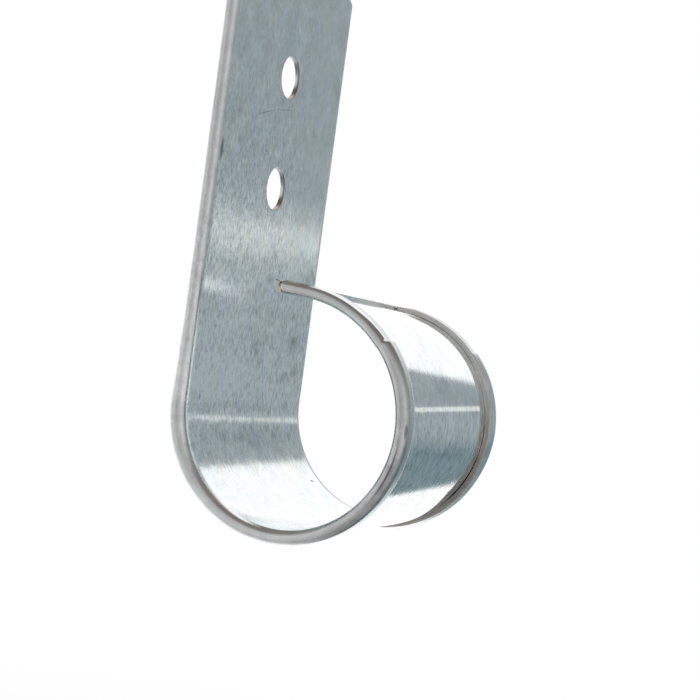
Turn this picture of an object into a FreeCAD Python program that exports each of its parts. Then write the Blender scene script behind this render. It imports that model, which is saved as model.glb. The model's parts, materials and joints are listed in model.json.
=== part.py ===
"""Loop cable hanger: one strip of galvanised sheet steel, its edges hemmed,
bent into a straight strap with a round loop at its foot.

The frame: Z is up, the wall is on the +Y side, the loop opens towards -Y and its axis runs along X.
The origin is the middle of the two screw holes, on the strap's back face. All sizes are in millimetres.
"""
import FreeCAD, Part
import math
import os
import Sketcher

Vector = FreeCAD.Vector

# Each driving dimension: its value and what it measures
DIMENSIONS = {
    "sheet_thickness": (0.85, "thickness of the sheet"),
    "strap_width": (41.4, "width over the two side hems"),
    "hem_gap": (0.38, "gap between web and flange in the side hems of strap and loop"),
    "tip_hem_gap": (0.12, "the same from the notch to the free end, where the hems are pressed closer"),
    "hem_width": (3.05, "side hems, from the outer edge to the flange's cut edge"),
    "end_lip_depth": (1.8, "lip across the free end, from the inner face to the lip's edge"),
    "bend_radius": (0.2, "inside radius of that lip's fold"),
    "hem_slit": (0.1, "how far the side hems stop short of that fold"),
    "loop_radius": (16.63, "inside radius of the loop"),
    "tip_opening": (1.03, "how much larger the roll's inside radius is past the notch"),
    "notch_turn": (221.0, "angle rolled up to the notch, where the side hems step down, in degrees"),
    "tip_turn": (44.7, "angle rolled from the notch to the straight tip, in degrees"),
    "tip_length": (4.5, "straight run from the end of the roll to the end lip's outer face"),
    "strap_height": (69.62, "top of the strap above the loop's axis"),
    "corner_radius": (3.6, "rounding of the strap's two top corners"),
    "hole_diameter": (6.7, "screw holes"),
    "hole_pitch": (17.9, "distance between the two screw holes"),
    "hole_from_top": (17.65, "upper screw hole below the top of the strap"),
    "hole_rollover": (0.2, "rounding that the punch leaves on the front edge of each hole"),
    "cut_clearance": (2.0, "how far each cutting profile runs past the sheet"),
}

# Places that several features share, worked out in the sheet from the driving dimensions
DERIVED = {
    "hem_height": "=2 * sheet_thickness + hem_gap",
    "tip_hem_height": "=2 * sheet_thickness + tip_hem_gap",
    "tip_radius": "=loop_radius + tip_opening",
    "loop_turn": "=notch_turn + tip_turn",
    "strap_top": "=hole_from_top + hole_pitch / 2",
    "loop_drop": "=strap_height - hole_from_top - hole_pitch / 2",
    "loop_setback": "=loop_radius + sheet_thickness",
    "tip_drop": "=loop_drop - tip_opening * sin(notch_turn)",
    "tip_setback": "=loop_setback + tip_opening * cos(notch_turn)",
    "outer_bend_radius": "=bend_radius + sheet_thickness",
    "hem_relief": "=outer_bend_radius + hem_slit",
}

# Sketcher's codes for the points of a line or arc, and for the sketch's own axes
START, END, CENTRE = 1, 2, 3
X_AXIS, Y_AXIS = -1, -2
ORIGIN = (-1, START)

# How near two lengths count as equal when an edge is looked up
SAME = 1e-6

NODE = "cable_hanger"

doc = FreeCAD.newDocument("loop_cable_hanger")


def make_sheet():
    """The spreadsheet that every sketch and feature takes its sizes from."""
    sheet = doc.addObject("Spreadsheet::Sheet", "Sizes")
    rows = [(alias, str(value), note) for alias, (value, note) in DIMENSIONS.items()]
    rows += [(alias, formula, "worked out") for alias, formula in DERIVED.items()]
    for row, (alias, content, note) in enumerate(rows, start=1):
        sheet.set(f"A{row}", alias)
        sheet.set(f"B{row}", content)
        sheet.set(f"C{row}", note)
        sheet.setAlias(f"B{row}", alias)
    doc.recompute()
    return sheet


sizes = make_sheet()


def size(alias):
    """A cell's value, for drawing a sketch near its solved shape."""
    return float(sizes.get(alias))


body = doc.addObject("PartDesign::Body", NODE)
body.Label = NODE
origin = {item.Role: item for item in body.Origin.OriginFeatures}


def new_sketch(name, plane):
    sketch = body.newObject("Sketcher::SketchObject", name)
    sketch.AttachmentSupport = [(origin[plane], "")]
    sketch.MapMode = "FlatFace"
    return sketch


def line(x1, y1, x2, y2):
    return Part.LineSegment(Vector(x1, y1, 0), Vector(x2, y2, 0))


def arc(cx, cy, radius, start_deg, end_deg):
    """A counter-clockwise arc."""
    circle = Part.Circle(Vector(cx, cy, 0), Vector(0, 0, 1), radius)
    return Part.ArcOfCircle(circle, math.radians(start_deg), math.radians(end_deg))


def draw(sketch, pieces, smooth, closed=True):
    """Draws pieces end to end and joins them, tangent after each piece whose number is in smooth.

    A piece is a geometry, or a geometry and True where the outline runs along it backwards.
    """
    ends = []
    for piece in pieces:
        geometry, backwards = piece if isinstance(piece, tuple) else (piece, False)
        number = sketch.addGeometry(geometry)
        ends.append((number, END, START) if backwards else (number, START, END))
    for here in range(len(ends) if closed else len(ends) - 1):
        number, _, leaves = ends[here]
        following, enters, _ = ends[(here + 1) % len(ends)]
        kind = "Tangent" if here in smooth else "Coincident"
        sketch.addConstraint(Sketcher.Constraint(kind, number, leaves, following, enters))


def hold(sketch, kind, *where):
    sketch.addConstraint(Sketcher.Constraint(kind, *where))


def bind(sketch, name, formula, kind, *where):
    """A named dimension of a sketch, tied to the sheet; where ends with the value it is drawn at."""
    number = sketch.addConstraint(Sketcher.Constraint(kind, *where))
    sketch.renameConstraint(number, name)
    sketch.setExpression(f"Constraints.{name}", formula)


def follow_tip(sketch):
    """Moves a side-view sketch to the centre of the roll's last stretch, its x axis to the roll's end."""
    sketch.AttachmentOffset = FreeCAD.Placement(Vector(), FreeCAD.Rotation(Vector(0, 0, 1), 0))
    sketch.setExpression("AttachmentOffset.Base.x", "-Sizes.tip_setback")
    sketch.setExpression("AttachmentOffset.Base.y", "-Sizes.tip_drop")
    sketch.setExpression("AttachmentOffset.Rotation.Angle", "-Sizes.loop_turn")


def make_path():
    """The side view of the strip's inner face: the strap, and the loop as far as the notch."""
    sketch = new_sketch("StripPath", "YZ_Plane")
    top, front = size("strap_top"), -size("sheet_thickness")
    drop, setback, radius = size("loop_drop"), size("loop_setback"), size("loop_radius")
    notch_deg = 360 - size("notch_turn")
    strap, loop = range(2)
    pieces = [
        line(front, top, front, -drop),
        (arc(-setback, -drop, radius, notch_deg, 360), True),
    ]
    draw(sketch, pieces, smooth={strap}, closed=False)
    hold(sketch, "Vertical", strap)
    bind(sketch, "front_face", "Sizes.sheet_thickness", "DistanceX", strap, START, *ORIGIN, -front)
    bind(sketch, "top", "Sizes.strap_top", "DistanceY", *ORIGIN, strap, START, top)
    bind(sketch, "drop", "Sizes.loop_drop", "DistanceY", loop, CENTRE, *ORIGIN, drop)
    bind(sketch, "radius", "Sizes.loop_radius", "Radius", loop, radius)
    bind(sketch, "to_notch", "Sizes.notch_turn", "Angle", loop, math.radians(360 - notch_deg))
    return sketch


def draw_section(sketch, hem, inner_face):
    """Draws a flat web with a hem folded back along each side, and returns the web's front and back lines.

    hem names the cell that holds the hems' height, from the web's front to the flange's outer face;
    inner_face is the height that the web's front is drawn at.
    """
    sheet, fold = size("sheet_thickness"), size(hem) / 2
    hollow = fold - sheet
    half, reach = size("strap_width") / 2, size("strap_width") / 2 - size("hem_width")
    flat = half - fold
    middle, top, back_face = inner_face + fold, inner_face + 2 * fold, inner_face + sheet
    under = top - sheet
    front, right_fold, right_top, right_edge, right_under, right_hollow = range(6)
    back, left_hollow, left_under, left_edge, left_top, left_fold = range(6, 12)
    pieces = [
        line(-flat, inner_face, flat, inner_face),
        arc(flat, middle, fold, 270, 450),
        line(flat, top, reach, top),
        line(reach, top, reach, under),
        line(reach, under, flat, under),
        (arc(flat, middle, hollow, 270, 450), True),
        line(flat, back_face, -flat, back_face),
        (arc(-flat, middle, hollow, 90, 270), True),
        line(-flat, under, -reach, under),
        line(-reach, under, -reach, top),
        line(-reach, top, -flat, top),
        arc(-flat, middle, fold, 90, 270),
    ]
    bends = {front, right_fold, right_under, right_hollow, back, left_hollow, left_top, left_fold}
    draw(sketch, pieces, smooth=bends)
    for level in (right_top, right_under, back, left_under, left_top):
        hold(sketch, "Horizontal", level)
    for upright in (right_edge, left_edge):
        hold(sketch, "Vertical", upright)
    hold(sketch, "Coincident", right_fold, CENTRE, right_hollow, CENTRE)
    hold(sketch, "Coincident", left_fold, CENTRE, left_hollow, CENTRE)
    hold(sketch, "Symmetric", front, START, front, END, Y_AXIS)
    hold(sketch, "Equal", right_fold, left_fold)
    bind(sketch, "sheet", "Sizes.sheet_thickness", "DistanceY", front, END, back, START, sheet)
    bind(sketch, "fold", f"Sizes.{hem} / 2", "Radius", right_fold, fold)
    bind(sketch, "flat", f"Sizes.strap_width - Sizes.{hem}", "DistanceX", front, START, front, END, 2 * flat)
    edge = "Sizes.strap_width / 2 - Sizes.hem_width"
    bind(sketch, "right_edge", edge, "DistanceX", *ORIGIN, right_edge, START, reach)
    bind(sketch, "left_edge", edge, "DistanceX", left_edge, END, *ORIGIN, reach)
    return front, back


def make_strip():
    """The section carried along the path: strap and loop in one run."""
    section = new_sketch("StripSection", "XY_Plane")
    section.setExpression("AttachmentOffset.Base.z", "Sizes.strap_top")
    _, back = draw_section(section, "hem_height", -size("sheet_thickness"))
    hold(section, "PointOnObject", back, START, X_AXIS)
    path = make_path()
    doc.recompute()
    strip = body.newObject("PartDesign::AdditivePipe", "Strip")
    strip.Profile = section
    strip.Spine = (path, [])
    return strip


def make_tip():
    """The last stretch with its closer hems: rolled back to the notch, and run on towards the free end."""
    section = new_sketch("TipSection", "XY_Plane")
    turn = FreeCAD.Rotation(Vector(1, 0, 0), -size("loop_turn"))
    section.AttachmentOffset = FreeCAD.Placement(Vector(), turn)
    section.setExpression("AttachmentOffset.Base.y", "-Sizes.tip_setback")
    section.setExpression("AttachmentOffset.Base.z", "-Sizes.tip_drop")
    section.setExpression("AttachmentOffset.Rotation.Angle", "-Sizes.loop_turn")
    radius = size("tip_radius")
    front, _ = draw_section(section, "tip_hem_height", radius)
    bind(section, "inner_face", "Sizes.tip_radius", "DistanceY", *ORIGIN, front, END, radius)
    doc.recompute()
    roll = body.newObject("PartDesign::Revolution", "TipRoll")
    roll.Profile = section
    roll.ReferenceAxis = (section, ["H_Axis"])
    roll.setExpression("Angle", "Sizes.tip_turn")
    run = body.newObject("PartDesign::Pad", "TipRun")
    run.Profile = section
    run.Reversed = True
    run.setExpression("Length", "Sizes.tip_length - Sizes.hem_relief")
    return run


def make_end_lip():
    """The lip folded outwards across the free end, over the full width; slits part it from the side hems."""
    sketch = new_sketch("EndLipProfile", "YZ_Plane")
    follow_tip(sketch)
    sheet, depth = size("sheet_thickness"), size("end_lip_depth")
    inner, outer = size("bend_radius"), size("outer_bend_radius")
    radius, run = size("tip_radius"), size("tip_length")
    start, bend = size("hem_relief") - run, outer - run
    back_face, middle, rim = radius + sheet, radius + outer, radius + depth
    joint, front, fold, face, edge, behind, hollow, back = range(8)
    pieces = [
        line(back_face, start, radius, start),
        line(radius, start, radius, bend),
        arc(middle, bend, outer, 180, 270),
        line(middle, -run, rim, -run),
        line(rim, -run, rim, sheet - run),
        line(rim, sheet - run, middle, sheet - run),
        (arc(middle, bend, inner, 180, 270), True),
        line(back_face, bend, back_face, start),
    ]
    draw(sketch, pieces, smooth={front, fold, behind, hollow})
    for level in (joint, face, behind):
        hold(sketch, "Horizontal", level)
    for upright in (front, edge, back):
        hold(sketch, "Vertical", upright)
    hold(sketch, "Coincident", fold, CENTRE, hollow, CENTRE)
    bind(sketch, "inner_face", "Sizes.tip_radius", "DistanceX", *ORIGIN, front, START, radius)
    bind(sketch, "sheet", "Sizes.sheet_thickness", "DistanceX", joint, END, joint, START, sheet)
    bind(sketch, "bend", "Sizes.outer_bend_radius", "Radius", fold, outer)
    bind(sketch, "depth", "Sizes.end_lip_depth", "DistanceX", front, START, edge, START, depth)
    bind(sketch, "reach", "Sizes.tip_length", "DistanceY", edge, START, *ORIGIN, run)
    bind(sketch, "joint", "Sizes.tip_length - Sizes.hem_relief", "DistanceY", joint, START, *ORIGIN, -start)
    pad = body.newObject("PartDesign::Pad", "EndLip")
    pad.Profile = sketch
    pad.SideType = "Symmetric"
    pad.setExpression("Length", "Sizes.strap_width")
    return pad


def round_top_corners():
    """Rounds one top corner of the strap, web and hem together, and mirrors it."""
    sketch = new_sketch("TopCornerTrim", "XZ_Plane")
    half, top = size("strap_width") / 2, size("strap_top")
    radius, clear = size("corner_radius"), size("cut_clearance")
    rounding, sill, side, cap, drop = range(5)
    pieces = [
        (arc(half - radius, top - radius, radius, 0, 90), True),
        line(half, top - radius, half + clear, top - radius),
        line(half + clear, top - radius, half + clear, top + clear),
        line(half + clear, top + clear, half - radius, top + clear),
        line(half - radius, top + clear, half - radius, top),
    ]
    draw(sketch, pieces, smooth=set())
    for level in (sill, cap):
        hold(sketch, "Horizontal", level)
    for upright in (side, drop):
        hold(sketch, "Vertical", upright)
    hold(sketch, "Vertical", rounding, CENTRE, rounding, END)
    hold(sketch, "Horizontal", rounding, CENTRE, rounding, START)
    bind(sketch, "rounding", "Sizes.corner_radius", "Radius", rounding, radius)
    bind(sketch, "side", "Sizes.strap_width / 2", "DistanceX", *ORIGIN, rounding, START, half)
    bind(sketch, "top", "Sizes.strap_top", "DistanceY", *ORIGIN, rounding, END, top)
    bind(sketch, "beside", "Sizes.cut_clearance", "DistanceX", sill, START, sill, END, clear)
    bind(sketch, "above", "Sizes.cut_clearance", "DistanceY", drop, END, drop, START, clear)
    pocket = body.newObject("PartDesign::Pocket", "TopCorner")
    pocket.Profile = sketch
    pocket.SideType = "Symmetric"
    pocket.setExpression("Length", "2 * (Sizes.hem_height + Sizes.cut_clearance)")
    mirrored = body.newObject("PartDesign::Mirrored", "TopCorners")
    mirrored.Originals = [pocket]
    mirrored.MirrorPlane = (origin["YZ_Plane"], [""])
    body.Tip = mirrored
    return mirrored


def punch_holes():
    """The upper screw hole, repeated one pitch below."""
    sketch = new_sketch("ScrewHoleCircle", "XZ_Plane")
    radius, pitch = size("hole_diameter") / 2, size("hole_pitch")
    hole = sketch.addGeometry(Part.Circle(Vector(0, pitch / 2, 0), Vector(0, 0, 1), radius))
    hold(sketch, "PointOnObject", hole, CENTRE, Y_AXIS)
    bind(sketch, "diameter", "Sizes.hole_diameter", "Diameter", hole, 2 * radius)
    bind(sketch, "height", "Sizes.hole_pitch / 2", "DistanceY", *ORIGIN, hole, CENTRE, pitch / 2)
    pocket = body.newObject("PartDesign::Pocket", "ScrewHole")
    pocket.Profile = sketch
    pocket.SideType = "Symmetric"
    pocket.setExpression("Length", "2 * (Sizes.sheet_thickness + Sizes.cut_clearance)")
    pattern = body.newObject("PartDesign::LinearPattern", "ScrewHoles")
    pattern.Originals = [pocket]
    pattern.Direction = (origin["Z_Axis"], [""])
    pattern.Reversed = True
    pattern.Occurrences = 2
    pattern.setExpression("Length", "Sizes.hole_pitch")
    body.Tip = pattern
    return pattern


def round_hole_edges(holes):
    """Rounds the holes' front edges, where the punch went in."""
    doc.recompute()
    radius, front = size("hole_diameter") / 2, -size("sheet_thickness")
    names = []
    for number, edge in enumerate(holes.Shape.Edges, start=1):
        is_round = isinstance(edge.Curve, Part.Circle)
        on_front = abs(edge.CenterOfMass.y - front) < SAME
        if is_round and on_front and abs(edge.Curve.Radius - radius) < SAME:
            names.append(f"Edge{number}")
    if len(names) != holes.Occurrences:
        raise RuntimeError(f"{len(names)} front hole edges found, {holes.Occurrences} expected")
    rollover = body.newObject("PartDesign::Fillet", "HoleRollover")
    rollover.Base = (holes, names)
    rollover.setExpression("Radius", "Sizes.hole_rollover")
    return rollover


def check():
    """Stops if any object of the document failed, or the hanger isn't one valid solid."""
    doc.recompute()
    for item in doc.Objects:
        if {"Invalid", "Error"} & set(item.State):
            raise RuntimeError(f"{item.Label} failed: {item.State}")
    shape = body.Shape
    if shape.isNull() or not shape.isValid() or len(shape.Solids) != 1:
        raise RuntimeError(f"{body.Label} isn't one valid solid")


def check_cut(name, before, after):
    """Stops if a cut took nothing away."""
    if after.Shape.Volume >= before.Shape.Volume:
        raise RuntimeError(f"{name} cut nothing")


def check_addition(name, before, after):
    """Stops if a feature added nothing."""
    if after.Shape.Volume <= before.Shape.Volume:
        raise RuntimeError(f"{name} added nothing")


def build():
    strip = make_strip()
    tip = make_tip()
    end_lip = make_end_lip()
    corners = round_top_corners()
    holes = punch_holes()
    round_hole_edges(holes)
    check()
    check_addition("the tip", strip, tip)
    check_addition("the end lip", tip, end_lip)
    check_cut("the top corners", end_lip, corners)
    check_cut("the screw holes", corners, holes)


build()
os.makedirs("parts", exist_ok=True)
body.Shape.exportStep(f"parts/{body.Label}.step")
print(f"{body.Label}: one solid of {body.Shape.Volume:.1f} mm3")
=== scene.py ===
"""Loop cable hanger: the folded sheet, its galvanised finish and a plain studio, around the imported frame."""
import json
import math

import bmesh
import bpy
import numpy as np
from bpy.props import FloatProperty, FloatVectorProperty, PointerProperty
from mathutils import Matrix, Vector


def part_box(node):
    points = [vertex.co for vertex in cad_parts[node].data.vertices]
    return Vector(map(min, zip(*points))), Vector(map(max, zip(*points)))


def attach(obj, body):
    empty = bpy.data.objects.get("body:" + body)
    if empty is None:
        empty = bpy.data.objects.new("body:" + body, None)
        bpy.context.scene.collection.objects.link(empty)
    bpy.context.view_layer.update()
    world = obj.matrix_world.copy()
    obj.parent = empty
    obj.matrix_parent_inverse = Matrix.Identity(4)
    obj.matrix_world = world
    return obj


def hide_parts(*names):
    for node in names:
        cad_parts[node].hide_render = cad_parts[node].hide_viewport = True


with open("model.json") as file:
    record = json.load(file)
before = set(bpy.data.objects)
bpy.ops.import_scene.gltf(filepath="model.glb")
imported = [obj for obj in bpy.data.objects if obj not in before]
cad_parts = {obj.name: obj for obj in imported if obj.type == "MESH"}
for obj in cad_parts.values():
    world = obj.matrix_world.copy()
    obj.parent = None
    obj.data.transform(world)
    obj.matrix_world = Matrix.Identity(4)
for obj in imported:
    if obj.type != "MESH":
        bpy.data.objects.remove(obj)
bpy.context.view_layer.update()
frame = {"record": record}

bl_info = {
    "name": "Loop Cable Hanger",
    "version": (1, 0, 0),
    "blender": (4, 5, 0),
    "location": "View3D > Sidebar > Hanger",
    "description": "Builds a folded galvanised cable hanger and the studio that shows it",
    "category": "Add Mesh",
}

NODE = "cable_hanger"
SLOT = "galvanised_steel"
BODY = "root"
MM = 0.001

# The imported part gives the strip's width, the strap's top and the screw holes.
NODE_LOW, NODE_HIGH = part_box(NODE)
SCREW_HOLES = frame["record"]["mounts"][0]["dims"]


def length(name, description, millimetres):
    """A size, kept in metres."""
    return FloatProperty(
        name=name,
        description=description,
        default=millimetres * MM,
        precision=5,
        subtype="DISTANCE",
        unit="LENGTH",
    )


def place(name, description, millimetres):
    """A point in the hanger's frame, kept in metres."""
    return FloatVectorProperty(
        name=name,
        description=description,
        default=[value * MM for value in millimetres],
        size=3,
        precision=5,
        subtype="TRANSLATION",
        unit="LENGTH",
    )


def angle(name, description, degrees):
    """An angle, kept in radians."""
    return FloatProperty(name=name, description=description, default=math.radians(degrees), subtype="ANGLE")


def factor(name, description, default):
    """A strength without a unit."""
    return FloatProperty(name=name, description=description, default=default, subtype="FACTOR", soft_min=0.0)


def colour(name, description, rgb):
    """A linear colour."""
    return FloatVectorProperty(
        name=name, description=description, default=rgb, size=3, subtype="COLOR", min=0.0
    )


class HangerSizes(bpy.types.PropertyGroup):
    """Sizes of the folded strip."""

    sheet: length("Sheet thickness", "Thickness of the steel sheet", 0.85)
    width: length("Width", "Width over both side hems", (NODE_HIGH.x - NODE_LOW.x) / MM)
    hem_width: length("Hem width", "Width of the side hems, from the fold to the flange's cut edge", 3.05)
    strap_top: length(
        "Strap top", "Height of the strap's top above the middle of the screw holes", NODE_HIGH.z / MM
    )
    strap_height: length("Strap height", "Flat strap from its top down to the start of the loop", 69.62)
    corner_radius: length("Corner radius", "Rounding of the strap's two top corners", 3.6)
    hole_radius: length("Hole radius", "Radius of the screw holes", SCREW_HOLES["hole_r_mm"])
    hole_pitch: length("Hole pitch", "Distance between the screw holes", SCREW_HOLES["spacing_y_mm"])
    hole_shift: length("Hole shift", "How far the punched holes sit off the strap's middle line", 0.14)
    hole_rollover: length("Hole rollover", "Rounding that the punch leaves at the front of the holes", 0.05)
    loop_radius: length("Loop radius", "Inner radius of the rolled loop", 16.63)
    loop_turn: angle("Loop turn", "Turn of the loop up to the notch in the side hems", 221.0)
    opening_radius: length("Opening radius", "Inner radius of the roll's last stretch", 17.66)
    opening_turn: angle("Opening turn", "Turn of the roll's last stretch", 44.7)
    tip_length: length("Tip length", "Straight end of the roll, to the outside of its end lip", 4.5)
    end_lip: length("End lip", "Depth of the lip across the free end", 1.8)
    end_bend: angle("End bend", "Angle by which the lip across the free end is folded", 97.0)
    end_radius: length("End radius", "Inner radius of that fold", 0.2)
    hem_slit: length("Hem slit", "How far the side hems stop short of that fold", 0.1)
    end_reach: length("End reach", "How far the free end's near corner stands ahead", 0.7)
    end_setback: length("End setback", "How far the free end's far corner stands back", 2.7)
    end_skew_length: length(
        "End skew length", "Stretch of the roll before the tip over which the end turns askew", 9.0
    )
    end_twist: length("End twist", "How far the free end's far corner stands in towards the loop", 0.42)
    front_edge: length("Front edge", "Rounding of the cut edges at the front face", 0.10)
    back_edge: length("Back edge", "Rounding of the cut edges at the back face", 0.06)


class HangerFinish(bpy.types.PropertyGroup):
    """Colours and wear of the zinc-coated sheet, with the colours of its painted light and shade."""

    zinc: colour("Zinc", "Colour of the rolled zinc coating", (0.74, 0.79, 0.815))
    dulled: colour("Dulled zinc", "Colour of the coating's duller patches", (0.765, 0.79, 0.78))
    rubbed: colour("Rubbed zinc", "Colour of the coating on the folds", (0.75, 0.77, 0.778))
    flange: colour("Flange", "Colour of the coating on the hems' flanges", (0.56, 0.585, 0.595))
    # Painted light: a lighter copy of the flange colour above, on the far flange up to the notch and on both
    # flanges round the loop's limb.
    lit_far_flange: colour(
        "Far flange", "Colour of the coating on the far flange up to the notch", (0.88, 0.91, 0.92)
    )
    cut: colour("Cut edge", "Colour of the sheared edges, where bare steel shows", (0.56, 0.53, 0.50))
    # Near-white of burnish, partly a painted highlight: on the sheared edges round the loop's limb, and on the
    # coating at the free end's far side.
    burnished_highlight: colour("Burnished edge", "Colour of the sheared edges near the free end", (1.0, 0.985, 0.96))
    wall: colour("Hole wall", "Colour of the upper part of the holes' walls", (0.34, 0.35, 0.37))
    copper: colour("Stained edge", "Colour of the lower part of the holes' walls", (0.40, 0.315, 0.28))
    # A painted highlight on burnish, in the middle of the holes' walls' back half.
    bright: colour("Bright edge", "Colour of the burnished middle of the holes' walls", (0.98, 0.98, 0.98))
    # Also the colour of the painted shade among the marks.
    stain_and_shade: colour("Stain", "Colour of dark specks and stains", (0.24, 0.25, 0.25))
    roughness: factor("Roughness", "Roughness of the zinc coating", 0.075)
    grain: factor("Grain", "Strength of the short rolling grain", 0.40)
    clouds: factor("Clouds", "Strength of the cloudy patches in the coating", 0.30)
    relief: factor("Relief", "Strength of the unevenness that the grain gives to reflections", 0.7)
    waves: factor("Waves", "Strength of the sheet's slight waviness", 0.25)


class HangerStudio(bpy.types.PropertyGroup):
    """Camera, floor and light."""

    camera: place("Camera", "Place of the camera", (-225.02, -113.43, -31.11))
    aim: place("Aim", "Point that the camera looks at", (0.29, -17.22, -32.80))
    roll: angle("Roll", "Turn of the camera about its line of sight", 7.64)
    lens: FloatProperty(
        name="Lens", description="Focal length on a 36 mm sensor", default=80.96, subtype="DISTANCE_CAMERA"
    )
    floor: length("Floor", "Height of the floor", -130.0)
    floor_colour: colour("Floor colour", "Colour of the pale floor", (0.9, 0.9, 0.9))
    backdrop: colour("Backdrop", "Light from the white backdrop", (1.18, 1.18, 1.18))
    ceiling: colour("Ceiling", "Light from above", (0.21, 0.185, 0.165))
    lamp: factor("Strip lamp", "Power of the strip lamp in watts", 0.0078)
    lamp_colour: colour("Lamp colour", "Colour of the strip lamp", (1.0, 0.96, 0.87))
    lamp_at: place("Lamp place", "Place of the strip lamp", (604.0, -310.0, 22.0))
    lamp_aim: place("Lamp aim", "Point that the strip lamp faces", (0.0, -0.9, 10.0))
    lamp_width: length("Lamp width", "Level side of the strip lamp", 260.0)
    lamp_height: length("Lamp height", "Upright side of the strip lamp", 20.0)


# Curves along the strip: millimetres past the start of the loop, and a value in millimetres there.
# Height of the side hems, whose folds give a little where the strip is rolled.
NEAR_HEM = (
    (-70, 2.28), (-45, 2.19), (-25, 2.16), (-13, 2.25), (-6, 2.42), (1, 2.7), (6, 2.75), (10, 2.66),
    (14, 2.5), (19, 2.36), (25, 2.24), (31, 2.18), (36, 2.18), (52, 2.16), (64.1, 2.2),
)
NEAR_TIP_HEM = ((64.1, 1.78), (82, 1.95))
FAR_HEM = (
    (-70, 2.08), (20, 2.04), (28, 2.1), (37, 1.92), (44, 1.95), (52, 2.13), (60, 2.08), (64.1, 2.02),
)
FAR_TIP_HEM = ((64.1, 1.78), (82, 1.8))
# How much closer to the sheet a flange lies at its cut edge than at its fold.
NEAR_FLANGE_SLOPE = ((-70, 0.06), (82, 0.06))
FAR_FLANGE_SLOPE = ((-70, 0.4), (30, 0.36), (38, 0.14), (44, 0.12), (50, 0.33), (54, 0.4), (82, 0.4))
# Rise of the web outwards: of its middle over its sides, and of a ridge along its far side.
WEB_BOW = ((-70, 0), (14, 0), (32, 0.15), (64, 0.15), (76, 0), (82, 0))
FAR_RIDGE = ((-70, 0), (14, 0), (22, 0.3), (30, 0.34), (35, 0.42), (41.5, 0), (82, 0))

# Where the ridge starts and where it is highest, as shares of the web's half width, and how it falls off.
RIDGE_START = -0.2
RIDGE_AT = 0.68
RIDGE_FALL = 1.5

# The least gap left under a flange's cut edge, the gap between the ends of the side hems and the widened end,
# and the length that the notch's step takes.
LEAST_GAP = 0.02 * MM
HEM_GAP = 0.03 * MM
NOTCH_STEP = 0.6 * MM

# Zones across the strip, and how many columns of vertices each has; the wings' crowd towards the folds.
FLANGE, FOLD, WING, CORE = "flange", "fold", "wing", "core"
FLANGE_STEPS = 5
FOLD_STEPS = 18
WING_STEPS = 22
WING_CROWDING = 1.4
HOLE_STEPS = 16

# Rows of vertices in each stretch of the strip.
ROWS = {
    "corners": 10,
    "above holes": 12,
    "between holes": 11,
    "below holes": 40,
    "loop": 190,
    "notch": 7,
    "opening": 42,
    "tip": 8,
    "slit": 2,
    "end fold": 10,
    "end lip": 4,
}

# A screw hole lies in a square block of cells: its half side in hole radii, and the hole's width as a share
# of its height.
HOLE_BLOCK = 1.5
HOLE_OVAL = 0.955

# Rings round a hole: shares of the way in from the block's rim on the front, turns of the rollover, shares
# of the way down the wall, and shares of the way in from the rim on the back.
FRONT_RINGS = (0.3, 0.55, 0.75, 0.9, 1.0)
ROLLOVER_TURNS = (0.35, 0.7, 1.05, math.pi / 2)
WALL_RINGS = (0.35, 0.7, 1.0)
BACK_RINGS = (1.0, 0.85, 0.6, 0.3)

# The rows below the top corners follow their rounding less and less, over this many corner radii.
CORNER_REACH = 3

# How far past the block's half side a row still counts as its rim.
RIM_SLACK = 1.001

# How strongly the shading of rounded edges follows the large faces beside them.
EDGE_WEIGHT = 80


def turned(turn):
    """Outward direction (y, z) of the loop at a turn from the strap."""
    return np.stack([np.cos(turn), -np.sin(turn)], axis=-1)


def forward(turn):
    """Direction (y, z) in which the strip runs at a turn from the strap."""
    return np.stack([-np.sin(turn), -np.cos(turn)], axis=-1)


def ease(x):
    """Smooth step from 0 to 1."""
    x = np.clip(x, 0, 1)
    return x * x * (3 - 2 * x)


def eased_through(x, knots):
    """Values at x of a curve that eases from knot to knot."""
    places, values = np.array(knots).T
    step = np.clip(np.searchsorted(places, x, side="right") - 1, 0, len(places) - 2)
    share = ease((x - places[step]) / (places[step + 1] - places[step]))
    return values[step] + share * (values[step + 1] - values[step])


def steps(start, stop, count):
    """Evenly spaced values from start to just before stop."""
    return np.linspace(start, stop, count, endpoint=False)


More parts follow.
